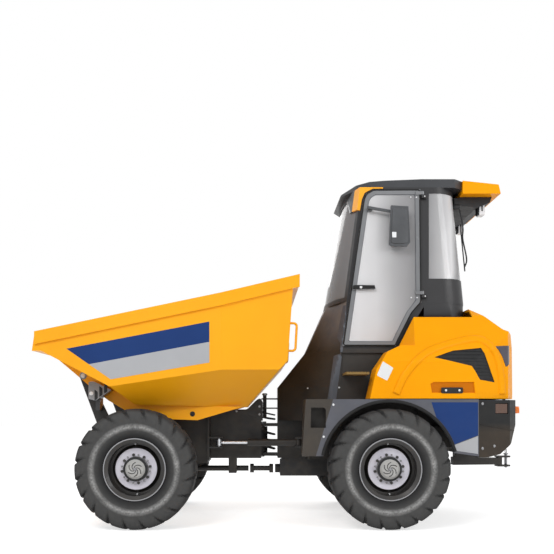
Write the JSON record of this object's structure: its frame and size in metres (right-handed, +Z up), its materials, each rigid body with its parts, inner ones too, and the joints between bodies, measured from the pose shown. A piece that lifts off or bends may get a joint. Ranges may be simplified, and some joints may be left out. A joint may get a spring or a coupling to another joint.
{
  "type": "site dumper",
  "caption": "Articulated four-wheel site dumper with a forward-tipping skip, a glazed rear cab, opening doors, a lifting engine hood and hydraulic rams.",
  "frame": {"origin": "on the ground, midway along the machine and on its centre line", "axes": "+X forwards to the skip's lip, +Y to the machine's left, +Z up"},
  "size_m": [4.59, 2.245, 3.232],
  "materials": {
    "skip_paint": "gloss",
    "hood_paint": "gloss",
    "dark_paint": "satin",
    "dark_plastic": "matte",
    "cowl_brown": "satin",
    "glass": "clear",
    "tyre": "matte",
    "rim_paint": "satin",
    "hub_silver": "satin",
    "steel": "polished",
    "cast": "satin",
    "seat_fabric": "woven",
    "lamp": "clear",
    "tail_lens": "gloss",
    "mirror_shell": "matte"
  },
  "bodies": {
    "rear_chassis": {"rear_frame": "dark_paint", "rear_axle": "cast", "pivot_pin": "steel", "gearbox": "cast", "engine": "cast", "nose_cowl": "cowl_brown", "dash_cowl": "cowl_brown", "cab_base": "cowl_brown", "cab_frame": "dark_paint", "windscreen": "glass", "rear_glass": "glass", "cab_roof": "dark_plastic", "rear_visor": "hood_paint", "visor_housing": "dark_plastic", "work_lamps": "lamp", "seat_base": "dark_paint", "seat": "seat_fabric", "console": "dark_plastic", "steering_column": "dark_paint", "fenders": "dark_plastic", "steps": "dark_paint", "bumper": "dark_plastic", "tail_lamps": "tail_lens", "hitch": "dark_paint"},
    "front_chassis": {"front_frame": "dark_paint", "front_axle": "cast", "front_shaft": "dark_paint", "head_lamps": "lamp"},
    "skip": {"skip_shell": "skip_paint", "skip_ribs": "skip_paint", "skip_hinge_pins": "steel", "skip_handles": "skip_paint"},
    "tip_barrel": {"tip_barrel": "dark_paint"},
    "tip_rod": {"tip_rod": "steel"},
    "steer_barrel": {"steer_barrel": "dark_paint"},
    "steer_rod": {"steer_rod": "steel"},
    "drive_shaft": {"drive_shaft": "dark_paint"},
    "hood": {"hood": "hood_paint", "hood_shoulders": "hood_paint", "hood_grilles": "dark_plastic"},
    "door_left": {"door_left": "dark_paint", "door_glass_left": "glass", "mirror_left": "mirror_shell"},
    "door_right": {"door_right": "dark_paint", "door_glass_right": "glass", "mirror_right": "mirror_shell"},
    "steering_wheel": {"steering_wheel": "dark_plastic"},
    "wheel_front_left": {"tyre_front_left": "tyre", "rim_front_left": "rim_paint", "hub_front_left": "hub_silver"},
    "wheel_front_right": {"tyre_front_right": "tyre", "rim_front_right": "rim_paint", "hub_front_right": "hub_silver"},
    "wheel_rear_left": {"tyre_rear_left": "tyre", "rim_rear_left": "rim_paint", "hub_rear_left": "hub_silver"},
    "wheel_rear_right": {"tyre_rear_right": "tyre", "rim_rear_right": "rim_paint", "hub_rear_right": "hub_silver"}
  },
  "joints": [
    {"name": "steer", "type": "hinge", "parent": "rear_chassis", "child": "front_chassis", "pos_m": [0.247, 0, 0.745], "axis": [0, 0, 1], "range_deg": [-30, 30]},
    {"name": "tip", "type": "hinge", "parent": "front_chassis", "child": "skip", "pos_m": [1.925, 0, 1.385], "axis": [0, 1, 0], "range_deg": [0, 65]},
    {"name": "tip_ram_swing", "type": "hinge", "parent": "front_chassis", "child": "tip_barrel", "pos_m": [1.1, 0, 0.612], "axis": [0, 1, 0], "range_deg": [-14.35, 0]},
    {"name": "tip_ram_stroke", "type": "slide", "parent": "tip_barrel", "child": "tip_rod", "axis": [0.6361, 0, 0.7716], "range_m": [0, 0.3965]},
    {"name": "steer_ram_swing", "type": "hinge", "parent": "rear_chassis", "child": "steer_barrel", "pos_m": [-0.11, 0.3, 0.745], "axis": [0, 0, 1], "range_deg": [-16.36, 16.36]},
    {"name": "steer_ram_stroke", "type": "slide", "parent": "steer_barrel", "child": "steer_rod", "axis": [1, 0, 0], "range_m": [-0.15631, 0.15631]},
    {"name": "shaft_swing", "type": "hinge", "parent": "rear_chassis", "child": "drive_shaft", "pos_m": [0.247, 0, 0.47], "axis": [0, 0, 1], "range_deg": [-15.05, 15.05]},
    {"name": "hood_lift", "type": "hinge", "parent": "rear_chassis", "child": "hood", "pos_m": [-2.118, 0, 1.18], "axis": [0, -1, 0], "range_deg": [0, 55]},
    {"name": "door_left_swing", "type": "hinge", "parent": "rear_chassis", "child": "door_left", "pos_m": [-1.25, 0.692, 2.4], "axis": [0, 0, 1], "range_deg": [0, 75]},
    {"name": "door_right_swing", "type": "hinge", "parent": "rear_chassis", "child": "door_right", "pos_m": [-1.25, -0.692, 2.4], "axis": [0, 0, -1], "range_deg": [0, 75]},
    {"name": "steering_wheel_turn", "type": "hinge", "parent": "rear_chassis", "child": "steering_wheel", "pos_m": [-0.77047, 0, 2.30293], "axis": [-0.249, 0, 0.9685], "range_deg": [-720, 720]},
    {"name": "wheel_front_left_spin", "type": "hinge", "parent": "front_chassis", "child": "wheel_front_left", "pos_m": [1.376, 0.92, 0.5375], "axis": [0, 1, 0], "continuous": true},
    {"name": "wheel_front_right_spin", "type": "hinge", "parent": "front_chassis", "child": "wheel_front_right", "pos_m": [1.376, -0.92, 0.5375], "axis": [0, 1, 0], "continuous": true},
    {"name": "wheel_rear_left_spin", "type": "hinge", "parent": "rear_chassis", "child": "wheel_rear_left", "pos_m": [-0.883, 0.92, 0.5375], "axis": [0, 1, 0], "continuous": true},
    {"name": "wheel_rear_right_spin", "type": "hinge", "parent": "rear_chassis", "child": "wheel_rear_right", "pos_m": [-0.883, -0.92, 0.5375], "axis": [0, 1, 0], "continuous": true}
  ],
  "couplings": [
    {"joint": "tip_ram_swing", "follows": "tip", "ratio": -0.22056},
    {"joint": "tip_ram_stroke", "follows": "tip", "m_per_rad": 0.34906},
    {"joint": "steer_ram_swing", "follows": "steer", "ratio": 0.54368},
    {"joint": "steer_ram_stroke", "follows": "steer", "m_per_rad": -0.29757},
    {"joint": "shaft_swing", "follows": "steer", "ratio": 0.5}
  ]
}
